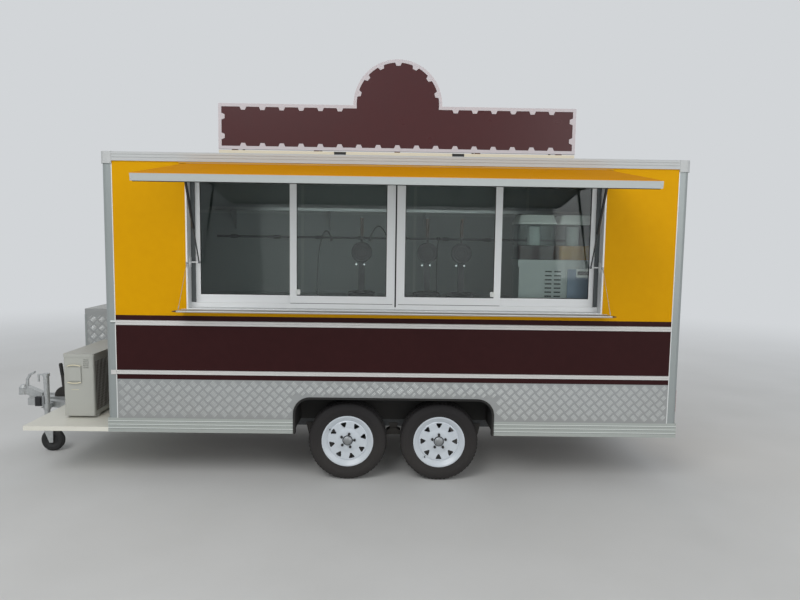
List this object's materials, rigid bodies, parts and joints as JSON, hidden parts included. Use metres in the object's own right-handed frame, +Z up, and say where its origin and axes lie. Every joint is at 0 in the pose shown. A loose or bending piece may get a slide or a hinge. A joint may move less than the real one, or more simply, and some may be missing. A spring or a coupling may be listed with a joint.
{
  "type": "food trailer",
  "caption": "Twin-axle catering trailer with a serving hatch on struts, sliding windows, a service shelf, a domed roof sign and a front deck with storage box and air conditioner.",
  "frame": {"origin": "on the ground under the middle of the whole trailer, hatch raised", "axes": "+X along the trailer from the hitch to the rear, -Y towards the serving side, +Z up"},
  "size_m": [5.8009, 3.1054, 3.309],
  "materials": {
    "yellow_panel": "satin",
    "brown_film": "satin",
    "sign_brown": "satin",
    "sign_white": "satin",
    "post_aluminium": "anodised",
    "trim_aluminium": "satin",
    "roof_white": "satin",
    "tread_plate": "rolled pattern",
    "galvanised_steel": "hot dip galvanised",
    "spring_steel": "black painted",
    "arch_black": "satin",
    "floor_board": "sealed plywood",
    "tyre_rubber": "matt",
    "rim_white": "gloss",
    "jockey_rubber": "matt",
    "window_white": "satin",
    "window_pane": "clear",
    "strut_black": "satin",
    "strut_chrome": "polished",
    "galley_steel": "brushed",
    "iron_black": "seasoned",
    "dispenser_grey": "gloss",
    "tank_yellow": "gloss",
    "deck_cream": "satin",
    "ac_white": "satin",
    "fan_black": "matt",
    "lamp_red": "gloss"
  },
  "bodies": {
    "trailer": {"ac_case": "ac_white", "ac_guard": "fan_black", "arch_trims": "arch_black", "axles": "galvanised_steel", "belt_rails": "trim_aluminium", "brown_band": "brown_film", "corner_posts": "post_aluminium", "coupling_head": "galvanised_steel", "cross_beams": "galvanised_steel", "dispenser_base": "dispenser_grey", "dispenser_tanks": "tank_yellow", "door_frame": "trim_aluminium", "drawbar_arms": "galvanised_steel", "far_wall": "yellow_panel", "floor_panels": "floor_board", "front_deck": "deck_cream", "front_wall": "yellow_panel", "handbrake": "spring_steel", "jockey_tube": "galvanised_steel", "leaf_springs": "spring_steel", "main_rails": "galvanised_steel", "opening_frame": "trim_aluminium", "rear_wall": "yellow_panel", "roof_panel": "roof_white", "roof_rails": "roof_white", "serving_wall": "yellow_panel", "sign_border": "sign_white", "sign_panel": "sign_brown", "sill_rails": "trim_aluminium", "spring_hangers": "spring_steel", "storage_box": "tread_plate", "tail_lamps": "lamp_red", "tread_skirts": "tread_plate", "waffle_irons": "iron_black", "wheel_boxes": "arch_black", "window_frames": "window_white", "window_glass": "window_pane", "window_sashes": "window_white", "worktops": "galley_steel"},
    "hatch": {"hatch_frame": "post_aluminium", "hatch_skin": "yellow_panel"},
    "strut_cylinder_left": {"strut_cylinder_left": "strut_black"},
    "strut_cylinder_right": {"strut_cylinder_right": "strut_black"},
    "strut_rod_left": {"strut_rod_left": "strut_chrome"},
    "strut_rod_right": {"strut_rod_right": "strut_chrome"},
    "shelf": {"service_shelf": "trim_aluminium"},
    "door": {"door_leaf": "yellow_panel"},
    "box_lid": {"storage_lid": "tread_plate"},
    "jockey_fork": {"jockey_fork": "galvanised_steel"},
    "jockey_wheel": {"jockey_wheel": "jockey_rubber"},
    "fan": {"ac_fan": "fan_black"},
    "wheel_front_near": {"tyre_front_near": "tyre_rubber", "rim_front_near": "rim_white"},
    "wheel_front_far": {"tyre_front_far": "tyre_rubber", "rim_front_far": "rim_white"},
    "wheel_rear_near": {"tyre_rear_near": "tyre_rubber", "rim_rear_near": "rim_white"},
    "wheel_rear_far": {"tyre_rear_far": "tyre_rubber", "rim_rear_far": "rim_white"}
  },
  "joints": [
    {"name": "wheel_front_near_spin", "type": "hinge", "parent": "trailer", "child": "wheel_front_near", "pos_m": [0.2445, -0.29381, 0.317], "axis": [0, 1, 0], "continuous": true},
    {"name": "wheel_front_far_spin", "type": "hinge", "parent": "trailer", "child": "wheel_front_far", "pos_m": [0.2445, 1.37919, 0.317], "axis": [0, 1, 0], "continuous": true},
    {"name": "wheel_rear_near_spin", "type": "hinge", "parent": "trailer", "child": "wheel_rear_near", "pos_m": [0.9845, -0.29381, 0.317], "axis": [0, 1, 0], "continuous": true},
    {"name": "wheel_rear_far_spin", "type": "hinge", "parent": "trailer", "child": "wheel_rear_far", "pos_m": [0.9845, 1.37919, 0.317], "axis": [0, 1, 0], "continuous": true},
    {"name": "hatch_hinge", "type": "hinge", "parent": "trailer", "child": "hatch", "pos_m": [0.6145, -0.46631, 2.497], "axis": [1, 0, 0], "range_deg": [0, 80.6]},
    {"name": "strut_left_pivot", "type": "hinge", "parent": "hatch", "child": "strut_cylinder_left", "pos_m": [-0.9215, -0.72207, 2.38877], "axis": [1, 0, 0], "range_deg": [-107.3, 0]},
    {"name": "strut_left_slide", "type": "slide", "parent": "strut_cylinder_left", "child": "strut_rod_left", "axis": [0, 0.4526, -0.8917], "range_m": [-0.2409, 0]},
    {"name": "strut_right_pivot", "type": "hinge", "parent": "hatch", "child": "strut_cylinder_right", "pos_m": [2.1505, -0.72207, 2.38877], "axis": [1, 0, 0], "range_deg": [-107.3, 0]},
    {"name": "strut_right_slide", "type": "slide", "parent": "strut_cylinder_right", "child": "strut_rod_right", "axis": [0, 0.4526, -0.8917], "range_m": [-0.2409, 0]},
    {"name": "shelf_hinge", "type": "hinge", "parent": "trailer", "child": "shelf", "pos_m": [0.6145, -0.47631, 1.379], "axis": [-1, 0, 0], "range_deg": [0, 90]},
    {"name": "door_hinge", "type": "hinge", "parent": "trailer", "child": "door", "pos_m": [2.8785, 0.88819, 1.415], "axis": [0, 0, 1], "range_deg": [0, 100]},
    {"name": "box_lid_hinge", "type": "hinge", "parent": "trailer", "child": "box_lid", "pos_m": [-1.7025, 1.04269, 1.209], "axis": [0, 1, 0], "range_deg": [0, 80]},
    {"name": "jockey_swivel", "type": "hinge", "parent": "trailer", "child": "jockey_fork", "pos_m": [-2.4995, 0.27346, 0.24], "axis": [0, 0, 1], "continuous": true},
    {"name": "jockey_spin", "type": "hinge", "parent": "jockey_fork", "child": "jockey_wheel", "pos_m": [-2.4545, 0.27346, 0.1], "axis": [0, 1, 0], "continuous": true},
    {"name": "fan_spin", "type": "hinge", "parent": "trailer", "child": "fan", "pos_m": [-2.0345, 0.27769, 0.717], "axis": [1, 0, 0], "continuous": true}
  ],
  "couplings": [
    {"joint": "strut_left_pivot", "follows": "hatch_hinge", "ratio": -1.325},
    {"joint": "strut_left_slide", "follows": "hatch_hinge", "m_per_rad": -0.17055},
    {"joint": "strut_right_pivot", "follows": "hatch_hinge", "ratio": -1.325},
    {"joint": "strut_right_slide", "follows": "hatch_hinge", "m_per_rad": -0.17055}
  ]
}
